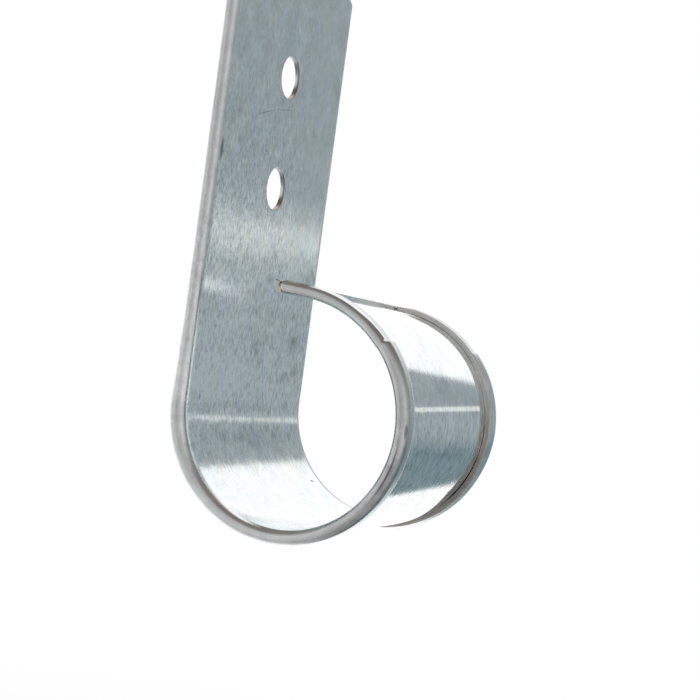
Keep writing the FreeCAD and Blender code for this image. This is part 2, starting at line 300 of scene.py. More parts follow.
class FoldPlan:
    """Lengths along and across the strip, and its rows and columns of vertices, worked out from the sizes."""

    def __init__(self, sizes):
        self.sizes = sizes
        self.half = sizes.width / 2
        self.end_fold_radius = sizes.end_radius + sizes.sheet
        self.loop_start = sizes.strap_height
        self.notch = self.loop_start + sizes.loop_radius * sizes.loop_turn
        self.tip_start = self.notch + sizes.opening_radius * sizes.opening_turn
        self.end_fold = self.tip_start + sizes.tip_length - self.end_fold_radius
        self.hem_end = self.end_fold - sizes.hem_slit
        self.end_lip = self.end_fold + self.end_fold_radius * sizes.end_bend
        rise = self.end_fold_radius * (1 - math.cos(sizes.end_bend))
        self.end = self.end_lip + (sizes.end_lip - rise) / math.sin(sizes.end_bend)
        self.tip_turn = sizes.loop_turn + sizes.opening_turn
        self.loop_centre = np.array([-sizes.sheet - sizes.loop_radius, sizes.strap_top - sizes.strap_height])
        widening = sizes.opening_radius - sizes.loop_radius
        self.opening_centre = self.loop_centre - widening * turned(sizes.loop_turn)
        self.hole_places = [sizes.strap_top + side * sizes.hole_pitch / 2 for side in (-1, 1)]
        self.block = HOLE_BLOCK * sizes.hole_radius
        self.set_rows()
        self.set_columns()
        self.set_layers()
        self.set_curves()

    def set_rows(self):
        """Lengths at which the strip has a row of vertices, and the last row of the side hems."""
        first, second = self.hole_places
        block, corner = self.block, self.sizes.corner_radius
        past_notch = self.notch + NOTCH_STEP
        self.rows = np.concatenate([
            steps(0, corner, ROWS["corners"]),
            steps(corner, first - block, ROWS["above holes"]),
            steps(first - block, first + block, HOLE_STEPS),
            steps(first + block, second - block, ROWS["between holes"]),
            steps(second - block, second + block, HOLE_STEPS),
            steps(second + block, self.loop_start, ROWS["below holes"]),
            steps(self.loop_start, self.notch, ROWS["loop"]),
            steps(self.notch, past_notch, ROWS["notch"]),
            steps(past_notch, self.tip_start, ROWS["opening"]),
            np.linspace(self.tip_start, self.hem_end, ROWS["tip"]),
            steps(self.hem_end + HEM_GAP, self.end_fold, ROWS["slit"]),
            steps(self.end_fold, self.end_lip, ROWS["end fold"]),
            np.linspace(self.end_lip, self.end, ROWS["end lip"]),
        ])
        self.last_hem_row = int(np.argmin(np.abs(self.rows - self.hem_end)))

    def set_columns(self):
        """Zone, side and place of every column of vertices, from the near cut edge to the far one."""
        wing_share = 1 - steps(1, 0, WING_STEPS)[1:] ** WING_CROWDING
        near = [(FLANGE, -1, share) for share in steps(0, 1, FLANGE_STEPS)]
        near += [(FOLD, -1, share) for share in np.linspace(0, 1, FOLD_STEPS + 1)]
        near += [(WING, -1, share) for share in wing_share[::-1]]
        far = [(zone, 1, share) for zone, side, share in reversed(near)]
        core = [(CORE, 0, x) for x in np.linspace(-self.block, self.block, HOLE_STEPS + 1)]
        zone, side, share = zip(*near, *core, *far)
        self.zone, self.side, self.share = np.array(zone), np.array(side), np.array(share)
        self.web_edges = np.flatnonzero((self.zone == FOLD) & (self.share == 1))

    def set_layers(self):
        """Depth below the front face and inset of the cut edge, for each layer through the sheet."""
        front, back, sheet = self.sizes.front_edge, self.sizes.back_edge, self.sizes.sheet
        halfway = 1 - math.sqrt(0.5)
        self.layers = [
            (0.0, front),
            (halfway * front, halfway * front),
            (front, 0.0),
            (sheet / 2, 0.0),
            (sheet - back, 0.0),
            (sheet - halfway * back, halfway * back),
            (sheet, back),
        ]

    def set_curves(self):
        """Fold radius and flange slope at every row and column, and the web's bow and ridge at every row."""
        near_hem, far_hem = self.hem_heights(NEAR_HEM, NEAR_TIP_HEM), self.hem_heights(FAR_HEM, FAR_TIP_HEM)
        self.fold_radius = np.where(self.side < 0, near_hem, far_hem) / 2
        near_slope, far_slope = self.along_strip(NEAR_FLANGE_SLOPE), self.along_strip(FAR_FLANGE_SLOPE)
        self.flange_slope = np.where(self.side < 0, near_slope, far_slope)
        self.bow = self.along_strip(WEB_BOW)
        self.ridge = self.along_strip(FAR_RIDGE)

    def along_strip(self, knots):
        """Values of one of the curves along the strip, as a column of rows."""
        past_start = (self.rows - self.loop_start) / MM
        return eased_through(past_start, knots)[:, None] * MM

    def hem_heights(self, knots, tip_knots):
        """Height of a side hem at every row, with a rounded step down at the notch."""
        height, tip_height = self.along_strip(knots), self.along_strip(tip_knots)
        past_notch = ease((self.rows - self.notch) / NOTCH_STEP)[:, None]
        return height + past_notch * (tip_height - height)


def follow_strip(plan, s):
    """Front-face points (y, z) and front-to-back directions at lengths s below the strap's top."""
    sizes = plan.sizes
    strap = np.stack([np.full_like(s, -sizes.sheet), sizes.strap_top - s], axis=-1)
    loop_turn = np.clip((s - plan.loop_start) / sizes.loop_radius, 0, sizes.loop_turn)
    loop = plan.loop_centre + sizes.loop_radius * turned(loop_turn)
    opening_turn = turn_past_notch(plan, s)
    opening = plan.opening_centre + sizes.opening_radius * turned(opening_turn)
    outward = turned(plan.tip_turn)
    along = forward(plan.tip_turn)
    radius = plan.end_fold_radius
    run = np.clip(s - plan.tip_start, 0, plan.end_fold - plan.tip_start)[..., None]
    bend = np.clip((s - plan.end_fold) / radius, 0, sizes.end_bend)[..., None]
    past = np.clip(s - plan.end_lip, 0, None)[..., None]
    rise = radius * (1 - np.cos(bend)) + past * np.sin(bend)
    run = run + radius * np.sin(bend) + past * np.cos(bend)
    tip = plan.opening_centre + (sizes.opening_radius + rise) * outward + run * along
    tip_out = np.cos(bend) * outward - np.sin(bend) * along
    stretch = np.digitize(s, [plan.loop_start, plan.notch, plan.tip_start])[..., None]
    chosen = [stretch == 0, stretch == 1, stretch == 2]
    points = np.select(chosen, [strap, loop, opening], tip)
    backward = [turned(turn) for turn in (np.zeros_like(s), loop_turn, opening_turn)]
    return points, np.select(chosen, backward, tip_out)


def turn_past_notch(plan, s):
    """Turn of the roll at lengths s from the notch on."""
    sizes = plan.sizes
    return sizes.loop_turn + np.clip((s - plan.notch) / sizes.opening_radius, 0, sizes.opening_turn)


def web_rise(plan, aside):
    """How far the web stands out of true, by its place across from -1 to 1."""
    past_ridge = np.clip((aside - RIDGE_AT) / (1 - RIDGE_AT), 0, 1)
    ridge = ease((aside - RIDGE_START) / (RIDGE_AT - RIDGE_START)) - past_ridge**RIDGE_FALL
    return plan.bow * np.clip(1 - aside**2, 0, 1) + plan.ridge * ridge


def section(plan, depth, inset):
    """Places of one layer's vertices across the strip, out from its front face and across the flat blank."""
    sizes = plan.sizes
    side, share, radius = plan.side, plan.share, plan.fold_radius
    flange, fold, wing = plan.zone == FLANGE, plan.zone == FOLD, plan.zone == WING
    widened = (np.arange(len(plan.rows)) > plan.last_hem_row)[:, None]
    flat = plan.half - radius
    web_half = np.where(widened, plan.half - inset, flat)
    fold_turn = (1 - share) * math.pi
    inner = radius - depth
    flange_reach = (sizes.hem_width - radius - inset) * (1 - share)
    folded = np.where(widened & (share == 1), web_half, flat + inner * np.sin(fold_turn))
    winged = plan.block + (web_half - plan.block) * share
    sideways = [side * (flat - flange_reach), side * folded, side * winged]
    across = np.select([flange, fold, wing], sideways, share)
    slope = np.minimum(plan.flange_slope, 2 * (radius - sizes.sheet) - LEAST_GAP)
    flange_out = 2 * radius - depth - slope * (1 - share)
    web_out = depth + web_rise(plan, across / flat)
    out = np.select([flange, fold], [flange_out, radius - inner * np.cos(fold_turn)], web_out)
    blank_flange = flat + radius * math.pi + flange_reach
    blank = np.select([flange, fold], [side * blank_flange, side * (flat + radius * fold_turn)], across)
    return across, out, blank


def skew_tip(plan, s, across):
    """Shift (y, z) that turns the free end askew and twists it."""
    sizes = plan.sizes
    near_share, far_share = (1 - across / plan.half) / 2, (1 + across / plan.half) / 2
    skew_start = plan.tip_start - sizes.end_skew_length
    skew = sizes.end_reach * near_share - sizes.end_setback * far_share
    skew = skew * ease((s - skew_start) / (plan.end_fold - skew_start))
    twist = -far_share * sizes.end_twist * ease((s - plan.notch) / (plan.end_fold - plan.notch))
    return skew[..., None] * forward(turn_past_notch(plan, s)) + twist[..., None] * turned(plan.tip_turn)


def corner_drop(plan, s, across):
    """How far the rounding of the strap's top corners lowers each vertex."""
    radius = plan.sizes.corner_radius
    past_corner = np.clip(np.abs(across) - plan.half + radius, 0, radius)
    drop = radius - np.sqrt(radius**2 - past_corner**2)
    return drop * np.clip(1 - s / (CORNER_REACH * radius), 0, 1)


def layer_points(plan, depth, inset):
    """Vertices of one layer through the sheet, and where each lay on the flat blank (across, along, deep)."""
    beside_web = (plan.zone == FLANGE) | ((plan.zone == FOLD) & (plan.share < 1))
    s = np.repeat(plan.rows[:, None], len(plan.zone), axis=1)
    s[plan.last_hem_row, beside_web] -= inset
    s[-1] -= inset
    across, out, blank = section(plan, depth, inset)
    points, directions = follow_strip(plan, s)
    points = points + out[..., None] * directions + skew_tip(plan, s, across)
    points[..., 1] -= corner_drop(plan, s, across)
    points[0, :, 1] -= inset
    on_blank = np.stack([blank, s, np.full_like(s, depth)], axis=-1)
    return np.concatenate([across[..., None], points], axis=-1), on_blank


def quads_between(index, chosen):
    """Quads over the chosen cells of a grid of vertex numbers."""
    i, j = np.nonzero(chosen)
    return np.stack([index[i, j], index[i, j + 1], index[i + 1, j + 1], index[i + 1, j]], axis=1)


def edge_walls(index, present):
    """Quads through the sheet along every free edge of the present cells."""
    padded = np.pad(present, 1)
    i, j = np.nonzero(padded[:-1, 1:-1] != padded[1:, 1:-1])
    cross_edges = (index[:, i, j], index[:, i, j + 1])
    i, j = np.nonzero(padded[1:-1, :-1] != padded[1:-1, 1:])
    long_edges = (index[:, i, j], index[:, i + 1, j])
    walls = []
    for start, end in (cross_edges, long_edges):
        for upper in range(len(index) - 1):
            walls.append(np.stack([start[upper], end[upper], end[upper + 1], start[upper + 1]], axis=1))
    return np.concatenate(walls)


def ring_quads(before, after):
    """Quads between two rings of vertex numbers."""
    return np.stack([before, np.roll(before, -1), np.roll(after, -1), after], axis=1)


def block_rim(rows, columns):
    """Row and column numbers round the rim of a block of cells."""
    top = [(rows[0], j) for j in range(columns[0], columns[1])]
    right = [(i, columns[1]) for i in range(rows[0], rows[1])]
    bottom = [(rows[1], j) for j in range(columns[1], columns[0], -1)]
    left = [(i, columns[0]) for i in range(rows[1], rows[0], -1)]
    return np.array(top + right + bottom + left).T


def hole_profile(sizes):
    """Radius, depth, share of the way in from the block's rim, and bareness, from front to back."""
    rollover = sizes.hole_rollover
    front = sizes.hole_radius + rollover
    back = sizes.hole_radius + sizes.back_edge
    wall = sizes.sheet - sizes.back_edge - rollover
    quarter = ROLLOVER_TURNS[-1]
    rings = [(front, 0.0, share, 0.0) for share in FRONT_RINGS]
    for turn in ROLLOVER_TURNS:
        depth = rollover * (1 - math.cos(turn))
        rings.append((front - rollover * math.sin(turn), depth, 1.0, turn / quarter))
    rings += [(sizes.hole_radius, rollover + share * wall, 1.0, 1.0) for share in WALL_RINGS]
    rings += [(back, sizes.sheet, share, 0.0) for share in BACK_RINGS]
    return rings


def hole_rings(plan, hole, rim):
    """Points, places on the flat blank and bareness of the rings round a screw hole."""
    sizes = plan.sizes
    middle = np.array([sizes.hole_shift, sizes.strap_top - hole])
    spokes = rim - middle
    spokes /= np.linalg.norm(spokes, axis=1, keepdims=True)
    spokes[:, 0] *= HOLE_OVAL
    points, blanks, bares = [], [], []
    for radius, depth, share, bare in hole_profile(sizes):
        across, height = (rim + share * (middle + radius * spokes - rim)).T
        points.append(np.stack([across, np.full_like(across, depth - sizes.sheet), height], axis=1))
        blanks.append(np.stack([across, sizes.strap_top - height, np.full_like(across, depth)], axis=1))
        bares.append(np.full_like(across, bare))
    return points, blanks, bares


def strip_mesh(sizes):
    """The folded strip as one closed mesh."""
    plan = FoldPlan(sizes)
    made = [layer_points(plan, depth, inset) for depth, inset in plan.layers]
    grid, blank = (np.stack(layers) for layers in zip(*made))
    index = np.arange(grid[..., 0].size).reshape(grid.shape[:3])
    bare = np.zeros(index.shape)
    bare[1:-1] = 1.0

    left, right = plan.web_edges
    present = np.ones((index.shape[1] - 1, index.shape[2] - 1), bool)
    present[plan.last_hem_row:, :left] = False
    present[plan.last_hem_row:, right:] = False
    shown = present.copy()
    vertices, blanks, bares = [grid.reshape(-1, 3)], [blank.reshape(-1, 3)], [bare.reshape(-1)]
    faces = []
    count = index.size
    columns = np.flatnonzero(plan.zone == CORE)[[0, -1]]
    for hole in plan.hole_places:
        rows = np.flatnonzero(np.abs(plan.rows - hole) < plan.block * RIM_SLACK)[[0, -1]]
        shown[rows[0]:rows[1], columns[0]:columns[1]] = False
        i, j = block_rim(rows, columns)
        points, ring_blanks, ring_bares = hole_rings(plan, hole, grid[0, i, j][:, [0, 2]])
        numbers = count + np.arange(len(points) * len(i)).reshape(len(points), len(i))
        count += numbers.size
        rings = [index[0, i, j], *numbers, index[-1, i, j]]
        faces += [ring_quads(before, after) for before, after in zip(rings, rings[1:])]
        vertices += points
        blanks += ring_blanks
        bares += ring_bares
    faces += [quads_between(index[0], shown), quads_between(index[-1], shown)[:, ::-1]]
    faces.append(edge_walls(index, present))
    used, faces = np.unique(np.concatenate(faces), return_inverse=True)
    faces = faces.reshape(-1, 4)
    return sheet_mesh(faces, *(np.concatenate(values)[used] for values in (vertices, blanks, bares)))


def sheet_mesh(faces, vertices, blanks, bares):
    """A mesh that carries each vertex's place on the flat blank, in millimetres, and its bare steel."""
    mesh = bpy.data.meshes.new(NODE)
    mesh.from_pydata(vertices.tolist(), [], faces.tolist())
    sheet = mesh.attributes.new("sheet", "FLOAT_VECTOR", "POINT")
    sheet.data.foreach_set("vector", (blanks / MM).ravel())
    bare_steel = mesh.attributes.new("bare", "FLOAT", "POINT")
    bare_steel.data.foreach_set("value", bares)
    work = bmesh.new()
    work.from_mesh(mesh)
    bmesh.ops.recalc_face_normals(work, faces=work.faces)
    work.to_mesh(mesh)
    work.free()
    mesh.shade_smooth()
    return mesh


def set_input(tree, node, socket, value):
    """Links a node's input to another socket, or sets it to a plain value."""
    if isinstance(value, bpy.types.NodeSocket):
        tree.links.new(value, node.inputs[socket])
    else:
        node.inputs[socket].default_value = value


def add_node(tree, kind, inputs=None, **settings):
    """Adds a node, sets its options and links or sets its inputs."""
    node = tree.nodes.new(kind)
    for name, value in settings.items():
        setattr(node, name, value)
    for socket, value in (inputs or {}).items():
        set_input(tree, node, socket, value)
    return node


def calculate(tree, operation, *values):
    """Output of a Math node."""
    return add_node(tree, "ShaderNodeMath", dict(enumerate(values)), operation=operation).outputs[0]


def product(tree, *values):
    """Product of several values."""
    total = values[0]
    for value in values[1:]:
        total = calculate(tree, "MULTIPLY", total, value)
    return total


def add_up(tree, *values):
    """Sum of several values."""
    total = values[0]
    for value in values[1:]:
        total = calculate(tree, "ADD", total, value)
    return total


def rest_of(tree, share):
    """What a share leaves of one."""
    return calculate(tree, "SUBTRACT", 1.0, share)


def fade(tree, value, start, stop, at_start=0.0, at_stop=1.0):
    """Eases from one value at the start of a stretch to another at its stop."""
    limits = {"Value": value, "From Min": start, "From Max": stop, "To Min": at_start, "To Max": at_stop}
    return add_node(tree, "ShaderNodeMapRange", limits, interpolation_type="SMOOTHSTEP").outputs[0]


def swing(tree, noise, strength):
    """A noise's swing about its middle, scaled."""
    return product(tree, calculate(tree, "SUBTRACT", noise, 0.5), strength)


def distance(tree, vector):
    """Length of a vector."""
    return add_node(tree, "ShaderNodeVectorMath", {0: vector}, operation="LENGTH").outputs["Value"]


# The sockets of a Mix node that mixes colours.
MIX_SHARE, MIX_FIRST, MIX_SECOND, MIX_RESULT = 0, 6, 7, 2


def blend_colour(tree, share, first, second, blend_type="MIX"):
    """Output of a colour Mix node."""
    node = add_node(tree, "ShaderNodeMix", data_type="RGBA", blend_type=blend_type)
    set_input(tree, node, MIX_SHARE, share)
    for socket, value in ((MIX_FIRST, first), (MIX_SECOND, second)):
        is_socket = isinstance(value, bpy.types.NodeSocket)
        set_input(tree, node, socket, value if is_socket else (*value, 1.0))
    return node.outputs[MIX_RESULT]


# Noises over the flat blank: features to a millimetre across and along it, detail, roughness and shift.
NOISES = {
    "grain": (2.8, 0.75, 4.0, 0.65, 0.0),
    "lines": (1.8, 0.06, 2.0, 0.5, 7.0),
    "pebbles": (1.0, 1.6, 2.0, 0.5, 19.0),
    "clouds": (0.24, 0.22, 6.0, 0.66, 3.0),
    "tint": (0.20, 0.13, 3.0, 0.5, 29.0),
    "specks": (1.9, 2.4, 3.0, 0.6, 11.0),
    "mottle": (0.75, 0.34, 4.0, 0.6, 23.0),
    "sway": (0.11, 0.07, 2.0, 0.5, 41.0),
}
NOISE_DEPTH = 4.0


def sheet_noise(tree, sheet, across, along, detail, roughness, shift):
    """Noise over the flat blank."""
    placing = {"Vector": sheet, "Scale": (across, along, NOISE_DEPTH), "Location": (shift, shift, shift)}
    scaled = add_node(tree, "ShaderNodeMapping", placing).outputs[0]
    options = {"Vector": scaled, "Scale": 1.0, "Detail": detail, "Roughness": roughness}
    return add_node(tree, "ShaderNodeTexNoise", options).outputs[0]


# Places on the flat blank with a look of their own, each the product of fades: a measure, where the
# fade starts and where it is full in millimetres, and the values there unless they are 0 and 1. Aside
# is measured from the middle line to either side, across from it to the far side, along from the
# strap's top and depth from the front face.
PLACES = {
    "front": (("depth", 0.5, 0.3),),
    "folds": (("aside", 19.3, 20.0),),
    "flanges": (("aside", 22.4, 23.2),),
    "pebbles": (("across", 4.0, -8.0), ("along", 8.0, 30.0)),
    "outer folds": (("aside", 21.3, 21.8), ("along", 121.0, 116.0)),
    "far limb": (("across", 0.0, 10.0), ("along", 137.0, 129.0)),
    # Painted highlight on the back face at the free end's far side.
    "far tip highlight": (("along", 143.0, 147.0), ("across", 2.0, 6.0)),
    "worn strap": (("along", 14.0, 48.0, 0.95, 2.3),),
    "smoother foot": (("along", 70.0, 84.0, 0.0, -1.4),),
    "worn limb": (("along", 104.0, 112.0, 0.0, 1.3), ("along", 128.0, 122.0)),
    "plain strap": (("across", 3.0, 12.0, 0.0, 0.5), ("along", 52.0, 40.0)),
    "light strap": (("along", 30.0, 55.0, 0.0, 0.05),),
    "light side": (("across", 2.0, -9.0, 0.0, 0.1), ("along", 50.0, 58.0), ("along", 71.0, 69.0)),
    "light end": (("along", 61.0, 66.0, 0.0, 0.08), ("along", 71.0, 69.0)),
    "light fold": (("along", 76.0, 90.0, 0.0, 0.15), ("along", 107.0, 100.0)),
    "dark fold": (("along", 100.0, 113.0, 0.0, -0.14), ("along", 136.0, 124.0)),
    "dark shoulder": (("along", 98.0, 108.0, 0.0, -0.22),),
    # Painted light on both flanges round the loop's limb.
    "lit flange": (("along", 92.0, 102.0), ("along", 120.0, 113.0)),
    # Painted highlight, partly burnish, on the sheared edges from the loop's limb to the free end, fullest on
    # the far half.
    "burnished edge": (("along", 116.0, 134.0), ("across", -6.0, 0.0, 0.35, 1.0)),
    "hole walls": (("aside", 10.0, 8.0), ("along", 6.0, 8.0), ("along", 50.0, 45.0)),
    "back of walls": (("depth", 0.3, 0.5),),
    "rough corner": (("aside", 18.9, 19.5), ("aside", 20.6, 20.1), ("along", 96.0, 84.0)),
    "rough far flange": (("along", 103.0, 109.0), ("along", 122.0, 112.0, 0.0, 0.2)),
}

# How little of the front's share counts as the back.
BACK_SHARE = (0.6, 0.4)


class BlankNodes:
    """Sockets that tell where a point lay on the flat blank, with the noises and the places over it."""

    def __init__(self, tree):
        self.tree = tree
        self.sheet = add_node(tree, "ShaderNodeAttribute", attribute_name="sheet").outputs["Vector"]
        self.bare = add_node(tree, "ShaderNodeAttribute", attribute_name="bare").outputs["Fac"]
        parts = add_node(tree, "ShaderNodeSeparateXYZ", {0: self.sheet}).outputs
        self.measure = dict(zip(("across", "along", "depth"), parts))
        self.measure["aside"] = calculate(tree, "ABSOLUTE", self.measure["across"])
        self.noise = {name: sheet_noise(tree, self.sheet, *values) for name, values in NOISES.items()}
        self.front = self.share("front")
        self.folds = self.share("folds")
        self.flanges = self.share("flanges")
        self.pebbles = self.share("pebbles")
        self.shoulders = product(tree, self.share("outer folds"), rest_of(tree, self.flanges))
        # The far half up to the notch, where the flange takes painted light.
        self.far_limb = self.share("far limb")
        self.far_tip_highlight = product(tree, fade(tree, self.front, *BACK_SHARE), self.share("far tip highlight"))

    def share(self, name):
        """Product of the fades of one of the places."""
        fades = [fade(self.tree, self.measure[axis], *stretch) for axis, *stretch in PLACES[name]]
        return product(self.tree, *fades)


# How far the noises swing the coating's tone, as shares of the grain's and the clouds' strength.
GRAIN_SWING = 2.4
MOTTLE_SWING = 0.7
PEBBLE_SWING = 0.5
LINE_SWING = 0.4
CLOUD_SWING = 2.0

# How much of the grain is smoothed away on the folds.
FOLD_SMOOTHING = 0.6


def grain_tone(tree, blank, finish):
    """Swing of the tone by grain, mottle and pebbles, worn in more on some stretches than on others."""
    grain = swing(tree, blank.noise["grain"], GRAIN_SWING * finish.grain)
    mottle = swing(tree, blank.noise["mottle"], MOTTLE_SWING * finish.grain)
    pebbles = swing(tree, blank.noise["pebbles"], PEBBLE_SWING * finish.grain)
    swings = add_up(tree, grain, mottle, product(tree, pebbles, blank.pebbles))
    worn = add_up(tree, blank.share("worn strap"), blank.share("smoother foot"), blank.share("worn limb"))
    smoothed = product(tree, blank.folds, FOLD_SMOOTHING)
    return product(tree, swings, worn, rest_of(tree, blank.share("plain strap")), rest_of(tree, smoothed))


def coating_tone(tree, blank, finish):
    """Lightness of the coating about 1."""
    fold_shade = add_up(tree, blank.share("light fold"), blank.share("dark fold"))
    return add_up(
        tree,
        1.0,
        grain_tone(tree, blank, finish),
        swing(tree, blank.noise["lines"], LINE_SWING * finish.grain),
        swing(tree, blank.noise["clouds"], CLOUD_SWING * finish.clouds),
        blank.share("light strap"),
        blank.share("light side"),
        blank.share("light end"),
        product(tree, blank.folds, fold_shade),
        product(tree, blank.shoulders, blank.share("dark shoulder")),
    )


# Marks on the coating: across and along the flat blank, half width, half length (mm), tilt (degrees),
# softness of the edge and strength. The front face is the strap's and the loop's inside. Most are dark
# marks on the zinc itself; the three noted below are painted shade and painted dark reflection.
FRONT_MARKS = (
    (-6.8, 24.45, 0.10, 3.4, 73.5, 0.3, 0.55),
    (-0.4, 22.95, 0.09, 3.3, 81.0, 0.3, 0.45),
    (-19.35, 32.3, 0.62, 2.6, 0.0, 0.8, 0.95),
    (-16.0, 69.3, 0.28, 0.65, 0.0, 0.6, 0.8),
    (16.5, 83.85, 0.75, 0.36, 0.0, 0.5, 0.9),
    (19.75, 89.0, 0.85, 18.0, 0.0, 0.7, 0.75),
    (0.6, 61.0, 2.2, 1.6, 10.0, 1.0, 0.32),
    (6.9, 60.9, 0.55, 0.35, 20.0, 0.8, 0.55),
    (12.2, 65.5, 2.6, 1.5, 0.0, 1.0, 0.3),
    (14.2, 70.3, 2.4, 1.5, 0.0, 1.0, 0.34),
    (-2.2, 75.6, 3.0, 1.5, 0.0, 1.0, 0.42),
    (9.4, 75.2, 2.4, 1.6, 0.0, 1.0, 0.42),
    (15.0, 75.4, 1.6, 1.3, 0.0, 1.0, 0.45),
    (-8.4, 76.2, 0.35, 1.5, 20.0, 0.8, 0.5),
    (14.5, 59.6, 3.2, 3.6, 0.0, 1.0, 0.42),
    (16.0, 64.5, 2.4, 2.0, 0.0, 1.0, 0.3),
    (-22.3, 122.0, 0.42, 1.2, 0.0, 0.6, 0.8),
    # Painted dark reflection: a thin dark line along the near bar's crest up the loop's limb.
    (-21.5, 116.2, 0.2, 6.0, 0.0, 0.7, 0.9),
    # Painted shade: greys the step at the near bar's notch, dimming its reflection of the white backdrop.
    (-22.4, 134.1, 1.4, 0.6, 0.0, 0.9, 0.32),
    (2.0, 75.4, 21.0, 3.6, 0.0, 1.0, 0.28),
    (-2.0, 70.4, 22.0, 1.3, 0.0, 1.0, 0.13),
)
BACK_MARKS = (
    (-6.6, 133.0, 1.0, 0.5, 0.0, 0.9, 0.3),
    (-4.6, 132.2, 0.3, 0.2, 0.0, 0.6, 0.6),
    (0.5, 118.4, 5.0, 0.8, 4.0, 1.0, 0.24),
    (0.0, 127.0, 23.0, 3.6, 0.0, 1.0, 0.18),
    (-11.5, 118.6, 1.6, 0.6, 0.0, 1.0, 0.28),
    (3.2, 118.0, 1.2, 0.7, 10.0, 0.9, 0.34),
    (8.6, 118.3, 1.0, 0.6, -10.0, 0.9, 0.36),
    (6.0, 116.2, 1.4, 0.8, 20.0, 1.0, 0.24),
    # Painted shadow: a dark line along the crease of the end lip's fold.
    (4.0, 151.5, 17.0, 0.5, 0.0, 0.6, 0.55),
    (9.0, 119.2, 4.0, 0.7, -6.0, 1.0, 0.2),
)

# How deep into the sheet a mark on one of its faces reaches, in millimetres.
MARK_DEPTH = 0.4

# Where the noises of the dark specks and of the dulled zinc start to show and are full.
SPECK_NOISE = (0.68, 0.78, 0.0, 0.6)
TINT_NOISE = (0.38, 0.62)


def mark(tree, sheet, face_depth, across, along, half_width, half_length, tilt, softness, strength):
    """Share of a soft-edged oval mark on one face of the sheet."""
    placing = {
        "Vector": sheet,
        "Location": (across, along, face_depth),
        "Rotation": (0.0, 0.0, math.radians(tilt)),
        "Scale": (half_width, half_length, MARK_DEPTH),
    }
    inside = add_node(tree, "ShaderNodeMapping", placing, vector_type="TEXTURE").outputs[0]
    return fade(tree, distance(tree, inside), 1.0, 1.0 - softness, 0.0, strength)


def stains_and_shade(tree, blank, sizes):
    """Share of the dark colour from the specks and from the marks on both faces, a few marks being painted
    shade.
    """
    soiled_and_shaded = fade(tree, blank.noise["specks"], *SPECK_NOISE)
    for face_depth, marks in ((0.0, FRONT_MARKS), (sizes.sheet / MM, BACK_MARKS)):
        for values in marks:
            soiled_and_shaded = calculate(tree, "MAXIMUM", soiled_and_shaded, mark(tree, blank.sheet, face_depth, *values))
    return soiled_and_shaded


def coating_colour(tree, blank, finish, sizes):
    """Colour of the zinc on the web, the folds and the flanges, with its dark marks, a few of them painted
    shade, painted light on the flanges and a painted highlight at the free end's far side.
    """
    base = blend_colour(tree, fade(tree, blank.noise["tint"], *TINT_NOISE), finish.zinc, finish.dulled)
    base = blend_colour(tree, blank.folds, base, finish.rubbed)
    # Painted light: the far flange up to the notch and both flanges round the loop's limb take the lighter
    # flange colour.
    lighter = calculate(tree, "MAXIMUM", blank.far_limb, blank.share("lit flange"))
    flange = blend_colour(tree, lighter, finish.flange, finish.lit_far_flange)
    base = blend_colour(tree, blank.flanges, base, flange)
    # Painted highlight: the coating at the free end's far side goes nearly white.
    base = blend_colour(tree, blank.far_tip_highlight, base, finish.burnished_highlight)
    # Dark specks and marks, with painted shade among them.
    return blend_colour(tree, stains_and_shade(tree, blank, sizes), base, finish.stain_and_shade)


# Height below a hole's middle at which its wall is stained, and to either side at which it takes the
# painted highlight, in millimetres.
STAINED_WALL = (0.9, 1.8)
BRIGHT_WALL = (1.5, 0.5)


def hole_wall_colour(tree, blank, finish):
    """Colour of the punched walls: dark above, a painted highlight on burnish in the middle of their back
    half, stained below.
    """
    pitch = SCREW_HOLES["spacing_y_mm"]
    upper_hole = NODE_HIGH.z / MM - pitch / 2
    from_start = calculate(tree, "SUBTRACT", blank.measure["along"], upper_hole - pitch / 2)
    below = calculate(tree, "SUBTRACT", calculate(tree, "MODULO", from_start, pitch), pitch / 2)
    level = fade(tree, calculate(tree, "ABSOLUTE", below), *BRIGHT_WALL)
    wall = blend_colour(tree, fade(tree, below, *STAINED_WALL), finish.wall, finish.copper)
    # Painted highlight in the middle of the walls' back half.
    return blend_colour(tree, product(tree, level, blank.share("back of walls")), wall, finish.bright)


def bare_steel_colour(tree, blank, finish):
    """Colour of the sheared edges and of the holes' walls, with painted highlights on both."""
    # The sheared edges from the loop's limb on take the painted highlight.
    sheared = blend_colour(tree, blank.share("burnished edge"), finish.cut, finish.burnished_highlight)
    return blend_colour(tree, blank.share("hole walls"), sheared, hole_wall_colour(tree, blank, finish))


# What the noises and the places add to the coating's roughness, and a dull patch of it on the strap.
CLOUD_ROUGHNESS = 0.07
GRAIN_ROUGHNESS = 0.06
BARE_ROUGHNESS = 0.2
FRONT_ROUGHNESS = 0.065
FLANGE_ROUGHNESS = 0.16
FAR_FLANGE_ROUGHNESS = 0.03
TIP_ROUGHNESS = 0.2
SHOULDER_ROUGHNESS = 0.3
CORNER_ROUGHNESS = 0.16
DULL_PATCH = (-9.0, 52.5, 15.0, 6.0, 0.0, 0.8, 0.10)


